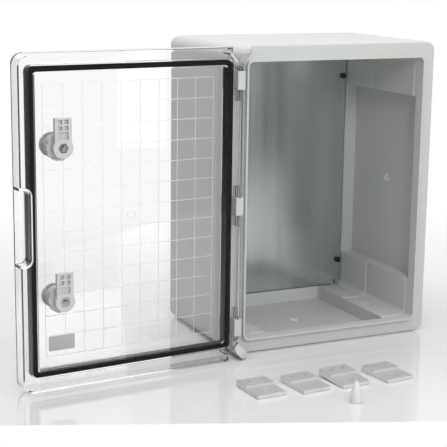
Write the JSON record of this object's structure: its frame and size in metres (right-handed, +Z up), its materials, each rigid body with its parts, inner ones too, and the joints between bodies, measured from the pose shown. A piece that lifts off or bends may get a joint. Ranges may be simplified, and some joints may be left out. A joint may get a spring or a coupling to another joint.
{
  "type": "hinged wall enclosure",
  "caption": "Wall-mounting ABS enclosure with a clear hinged door, quarter-turn cam locks, a steel mounting plate and loose wall brackets with a key.",
  "frame": {"origin": "centre of the case's bottom face", "axes": "+Z up, -Y out of the open front, +X towards the side with the lock catches"},
  "size_m": [0.5896, 0.4213, 0.4],
  "materials": {
    "abs_grey": "satin moulded ABS",
    "clear_pc": "polished clear polycarbonate",
    "zinc_sheet": "galvanised sheet",
    "black_steel": "black zinc",
    "pin_steel": "drawn",
    "zinc_cast": "die-cast",
    "gasket_rubber": "matt EPDM",
    "label_grey": "matt film",
    "bracket_grey": "satin moulded ABS",
    "key_grey": "satin"
  },
  "bodies": {
    "case": {"base_box": "abs_grey", "mounting_plate": "zinc_sheet", "mounting_plate_screws": "black_steel", "hinge_pin_top": "pin_steel", "hinge_pin_middle": "pin_steel", "hinge_pin_bottom": "pin_steel"},
    "door": {"door": "clear_pc", "door_gasket": "gasket_rubber", "door_label": "label_grey", "upper_lock_housing": "abs_grey", "upper_lock_washer": "gasket_rubber", "upper_lock_ring_nut": "abs_grey", "lower_lock_housing": "abs_grey", "lower_lock_washer": "gasket_rubber", "lower_lock_ring_nut": "abs_grey"},
    "upper_lock": {"upper_lock_spindle": "zinc_cast", "upper_lock_cam": "abs_grey", "upper_lock_cam_nut": "zinc_cast"},
    "lower_lock": {"lower_lock_spindle": "zinc_cast", "lower_lock_cam": "abs_grey", "lower_lock_cam_nut": "zinc_cast"},
    "fixing_kit": {"wall_bracket_1": "bracket_grey", "wall_bracket_2": "bracket_grey", "wall_bracket_3": "bracket_grey", "wall_bracket_4": "bracket_grey", "lock_key": "key_grey"}
  },
  "joints": [
    {"name": "door_hinge", "type": "hinge", "parent": "case", "child": "door", "pos_m": [-0.145, -0.1102, 0.2], "axis": [0, 0, 1], "range_deg": [-5, 175]},
    {"name": "upper_lock_turn", "type": "hinge", "parent": "door", "child": "upper_lock", "pos_m": [-0.38806, -0.15455, 0.292], "axis": [0.0872, -0.9962, 0], "range_deg": [0, 90]},
    {"name": "lower_lock_turn", "type": "hinge", "parent": "door", "child": "lower_lock", "pos_m": [-0.38806, -0.15455, 0.112], "axis": [0.0872, -0.9962, 0], "range_deg": [0, 90]},
    {"name": "kit_slide", "type": "slide", "parent": "case", "child": "fixing_kit", "axis": [1, 0, 0], "range_m": [-0.012, 0.4]}
  ],
  "couplings": [
    {"joint": "kit_slide", "follows": "door_hinge", "m_per_rad": 0.13}
  ]
}
